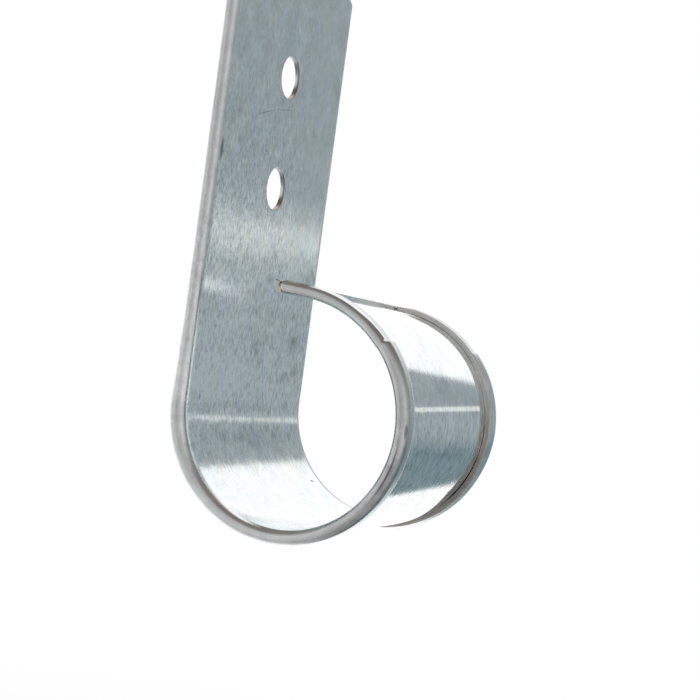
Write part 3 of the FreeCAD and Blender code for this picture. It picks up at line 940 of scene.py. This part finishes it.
def coating_roughness(tree, blank, finish):
    """Roughness of the coating and of the bare steel."""
    lit_far_flange = product(tree, blank.flanges, blank.far_limb)
    return add_up(
        tree,
        finish.roughness,
        swing(tree, blank.noise["clouds"], CLOUD_ROUGHNESS),
        swing(tree, blank.noise["grain"], GRAIN_ROUGHNESS),
        product(tree, blank.bare, BARE_ROUGHNESS),
        product(tree, blank.front, FRONT_ROUGHNESS),
        product(tree, blank.flanges, FLANGE_ROUGHNESS),
        product(tree, lit_far_flange, FAR_FLANGE_ROUGHNESS),
        product(tree, lit_far_flange, blank.share("rough far flange")),
        product(tree, blank.far_tip_highlight, TIP_ROUGHNESS),
        product(tree, blank.shoulders, SHOULDER_ROUGHNESS),
        product(tree, blank.share("rough corner"), CORNER_ROUGHNESS),
        mark(tree, blank.sheet, 0.0, *DULL_PATCH),
    )


# Heights of the grain's unevenness and of the sheet's waves, in metres.
GRAIN_HEIGHT = 0.000006
WAVE_HEIGHT = 0.00025


def coating_relief(tree, blank, finish):
    """Normal of the coating: the grain's fine unevenness, and slight waves on the front face."""
    pebbles = product(tree, blank.noise["pebbles"], blank.pebbles)
    uneven = add_up(tree, blank.noise["grain"], blank.noise["lines"], pebbles)
    fine = {"Strength": finish.relief, "Distance": GRAIN_HEIGHT, "Height": uneven}
    normal = add_node(tree, "ShaderNodeBump", fine).outputs[0]
    sway = product(tree, blank.noise["sway"], blank.front)
    waves = {"Strength": finish.waves, "Distance": WAVE_HEIGHT, "Height": sway, "Normal": normal}
    return add_node(tree, "ShaderNodeBump", waves).outputs[0]


def zinc_material(finish, sizes):
    """Rolled zinc coating with grain, clouds and marks, rubbed folds, and bare steel at the cut edges, with
    painted shade among the marks and painted highlights on the flanges, the edges and the free end's far side.
    """
    material = bpy.data.materials.new(SLOT)
    material.use_nodes = True
    tree = material.node_tree
    tree.nodes.clear()
    blank = BlankNodes(tree)
    coating = coating_colour(tree, blank, finish, sizes)
    base = blend_colour(tree, blank.bare, coating, bare_steel_colour(tree, blank, finish))
    tone = coating_tone(tree, blank, finish)
    grey = add_node(tree, "ShaderNodeCombineColor", {0: tone, 1: tone, 2: tone}).outputs[0]
    look = {
        "Base Color": blend_colour(tree, 1.0, base, grey, "MULTIPLY"),
        "Metallic": 1.0,
        "Roughness": coating_roughness(tree, blank, finish),
        "Normal": coating_relief(tree, blank, finish),
    }
    shader = add_node(tree, "ShaderNodeBsdfPrincipled", look)
    add_node(tree, "ShaderNodeOutputMaterial", {"Surface": shader.outputs[0]})
    return material


class HANGER_OT_fold_strip(bpy.types.Operator):
    """Fold the strip of galvanised sheet into the hanger"""

    bl_idname = "hanger.fold_strip"
    bl_label = "Fold Strip"

    def execute(self, context):
        scene = context.scene
        piece = bpy.data.objects.new("folded_strip", strip_mesh(scene.hanger_sizes))
        scene.collection.objects.link(piece)
        piece.data.materials.append(zinc_material(scene.hanger_finish, scene.hanger_sizes))
        piece.modifiers.new("Edge shading", "WEIGHTED_NORMAL").weight = EDGE_WEIGHT
        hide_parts(NODE)
        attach(piece, BODY)
        return {"FINISHED"}


# The floor's radius in metres, and how white it shows to the camera: two distances from the hanger in
# metres and the shares of white there.
FLOOR_RADIUS = 4.0
FLOOR_SEGMENTS = 96
FLOOR_WHITENESS = (0.13, 0.24, 0.9, 1.0)


def white_floor(studio):
    """A round pale floor that shows white to the camera and still takes the hanger's shadow."""
    work = bmesh.new()
    bmesh.ops.create_circle(work, cap_ends=True, radius=FLOOR_RADIUS, segments=FLOOR_SEGMENTS)
    mesh = bpy.data.meshes.new("floor")
    work.to_mesh(mesh)
    work.free()
    floor = bpy.data.objects.new("floor", mesh)
    floor.location.z = studio.floor
    material = bpy.data.materials.new("pale_floor")
    material.use_nodes = True
    tree = material.node_tree
    tree.nodes.clear()
    diffuse = add_node(tree, "ShaderNodeBsdfDiffuse", {"Color": (*studio.floor_colour, 1.0)})
    glow = add_node(tree, "ShaderNodeEmission", {"Color": (1.0, 1.0, 1.0, 1.0), "Strength": 1.0})
    path = add_node(tree, "ShaderNodeLightPath")
    from_hanger = distance(tree, add_node(tree, "ShaderNodeNewGeometry").outputs["Position"])
    share = product(tree, path.outputs["Is Camera Ray"], fade(tree, from_hanger, *FLOOR_WHITENESS))
    mixed = add_node(tree, "ShaderNodeMixShader", {0: share, 1: diffuse.outputs[0], 2: glow.outputs[0]})
    add_node(tree, "ShaderNodeOutputMaterial", {"Surface": mixed.outputs[0]})
    mesh.materials.append(material)
    floor.visible_glossy = False
    return floor


# Light of the room at eye height, by degrees round from the hanger's right side: cool beside the backdrop,
# warmer and brighter on the camera's side, with the camera itself as a dip.
ROOM_RING = (
    (-180, (0.49, 0.485, 0.475)),
    (-160, (0.52, 0.515, 0.505)),
    (-143, (0.625, 0.625, 0.62)),
    (-118, (0.655, 0.66, 0.66)),
    (-89, (0.50, 0.525, 0.535)),
    (-68, (0.37, 0.405, 0.42)),
    (-45, (0.325, 0.365, 0.38)),
    (-23, (0.355, 0.405, 0.425)),
    (0, (0.385, 0.425, 0.43)),
    (80, (0.48, 0.48, 0.475)),
    (107, (0.67, 0.68, 0.68)),
    (130, (0.635, 0.635, 0.63)),
    (149, (0.56, 0.555, 0.55)),
    (166, (0.46, 0.455, 0.445)),
    (180, (0.49, 0.485, 0.475)),
)

# Shares of that light below eye height on the backdrop's side, and towards the floor.
LOW_ROOM_SHARE = (0.56, 0.67, 0.71)
FLOOR_SHARE = (0.66, 0.66, 0.66)

# Where those parts of the room and the ceiling start and are full, by a direction's height or its way to
# the right.
LOW_ROOM_HEIGHT = (-0.05, -0.20)
LOW_ROOM_RIGHT = (-0.1, 0.4)
FLOOR_HEIGHT = (-0.42, -0.86)
CEILING_HEIGHT = (0.25, 0.85)

# The backdrop fills the directions on this one's side, on the right, with a soft edge.
BACKDROP_EDGE = (0.150, 0.975, 0.214)
BACKDROP_SOFTNESS = (-0.008, 0.008)
BACKDROP_RIGHT = (-0.1, 0.3)


def ring_light(tree, right, ahead):
    """Light of the room by a direction's turn about the upright axis."""
    turn = calculate(tree, "ARCTAN2", ahead, right)
    limits = {"Value": turn, "From Min": -math.pi, "From Max": math.pi}
    share = add_node(tree, "ShaderNodeMapRange", limits).outputs[0]
    ramp = add_node(tree, "ShaderNodeValToRGB", {"Fac": share})
    stops = ramp.color_ramp.elements
    places = [(degrees + 180) / 360 for degrees, light in ROOM_RING]
    stops[0].position, stops[1].position = places[0], places[-1]
    for position in places[1:-1]:
        stops.new(position)
    for stop, (degrees, light) in zip(stops, ROOM_RING):
        stop.color = (*light, 1.0)
    return ramp.outputs[0]


def studio_world(studio):
    """White to the camera, and to the metal a white backdrop on one side of a soft grey room."""
    world = bpy.data.worlds.new("studio")
    world.use_nodes = True
    tree = world.node_tree
    tree.nodes.clear()
    direction = add_node(tree, "ShaderNodeTexCoord").outputs["Generated"]
    right, ahead, height = add_node(tree, "ShaderNodeSeparateXYZ", {0: direction}).outputs
    room = ring_light(tree, right, ahead)
    low = product(tree, fade(tree, height, *LOW_ROOM_HEIGHT), fade(tree, right, *LOW_ROOM_RIGHT))
    for part, share in ((low, LOW_ROOM_SHARE), (fade(tree, height, *FLOOR_HEIGHT), FLOOR_SHARE)):
        room = blend_colour(tree, part, room, blend_colour(tree, 1.0, room, share, "MULTIPLY"))
    room = blend_colour(tree, fade(tree, height, *CEILING_HEIGHT), room, studio.ceiling)
    sides = {0: direction, 1: BACKDROP_EDGE}
    past_edge = add_node(tree, "ShaderNodeVectorMath", sides, operation="DOT_PRODUCT").outputs["Value"]
    backdrop = product(tree, fade(tree, past_edge, *BACKDROP_SOFTNESS), fade(tree, right, *BACKDROP_RIGHT))
    light = blend_colour(tree, backdrop, room, studio.backdrop)
    path = add_node(tree, "ShaderNodeLightPath")
    seen = blend_colour(tree, path.outputs["Is Camera Ray"], light, (1.0, 1.0, 1.0))
    background = add_node(tree, "ShaderNodeBackground", {"Color": seen, "Strength": 1.0})
    add_node(tree, "ShaderNodeOutputWorld", {"Surface": background.outputs[0]})
    return world


def facing(at, towards):
    """Turn that points a lamp or a camera from one place towards another, its width level."""
    return (Vector(towards) - Vector(at)).to_track_quat("-Z", "Y")


def strip_lamp(studio):
    """A long low lamp that draws the bright line across the loop."""
    lamp = bpy.data.lights.new("strip_lamp", "AREA")
    lamp.shape = "RECTANGLE"
    lamp.size = studio.lamp_width
    lamp.size_y = studio.lamp_height
    lamp.energy = studio.lamp
    lamp.color = studio.lamp_colour
    holder = bpy.data.objects.new("strip_lamp", lamp)
    holder.location = studio.lamp_at
    holder.rotation_euler = facing(studio.lamp_at, studio.lamp_aim).to_euler()
    holder.visible_camera = False
    return holder


# The camera's sensor in millimetres, and the nearest that it sees in metres.
SENSOR_WIDTH = 36.0
CLIP_START = 0.01


def photo_camera(studio):
    """Camera at the photograph's viewing angle."""
    camera = bpy.data.objects.new("camera", bpy.data.cameras.new("camera"))
    camera.data.sensor_width = SENSOR_WIDTH
    camera.data.lens = studio.lens
    camera.data.clip_start = CLIP_START
    look = facing(studio.camera, studio.aim).to_matrix()
    turn = Matrix.Rotation(studio.roll, 3, "Z")
    camera.matrix_world = Matrix.Translation(studio.camera) @ (look @ turn).to_4x4()
    return camera


class HANGER_OT_set_studio(bpy.types.Operator):
    """Set up the floor, the light and the camera"""

    bl_idname = "hanger.set_studio"
    bl_label = "Set Studio"

    def execute(self, context):
        scene = context.scene
        studio = scene.hanger_studio
        floor = white_floor(studio)
        scene.collection.objects.link(floor)
        scene.world = studio_world(studio)
        scene.collection.objects.link(strip_lamp(studio))
        scene.camera = photo_camera(studio)
        scene.collection.objects.link(scene.camera)
        scene.view_settings.view_transform = "Standard"
        return {"FINISHED"}


class HANGER_PT_build(bpy.types.Panel):
    """Lists the steps that build the hanger and its studio"""

    bl_idname = "HANGER_PT_build"
    bl_label = "Loop Cable Hanger"
    bl_space_type = "VIEW_3D"
    bl_region_type = "UI"
    bl_category = "Hanger"

    def draw(self, context):
        for operator in OPERATORS:
            self.layout.operator(operator.bl_idname)


OPERATORS = (HANGER_OT_fold_strip, HANGER_OT_set_studio)
GROUPS = {"hanger_sizes": HangerSizes, "hanger_finish": HangerFinish, "hanger_studio": HangerStudio}


def register():
    """Registers the settings, the operators and the panel."""
    for name, group in GROUPS.items():
        bpy.utils.register_class(group)
        setattr(bpy.types.Scene, name, PointerProperty(type=group))
    for operator in OPERATORS:
        bpy.utils.register_class(operator)
    bpy.utils.register_class(HANGER_PT_build)


def unregister():
    """Removes the panel, the operators and the settings."""
    bpy.utils.unregister_class(HANGER_PT_build)
    for operator in reversed(OPERATORS):
        bpy.utils.unregister_class(operator)
    for name, group in reversed(GROUPS.items()):
        delattr(bpy.types.Scene, name)
        bpy.utils.unregister_class(group)


def main():
    """Builds the hanger and its studio."""
    register()
    bpy.ops.hanger.fold_strip()
    bpy.ops.hanger.set_studio()


if __name__ == "__main__":
    main()
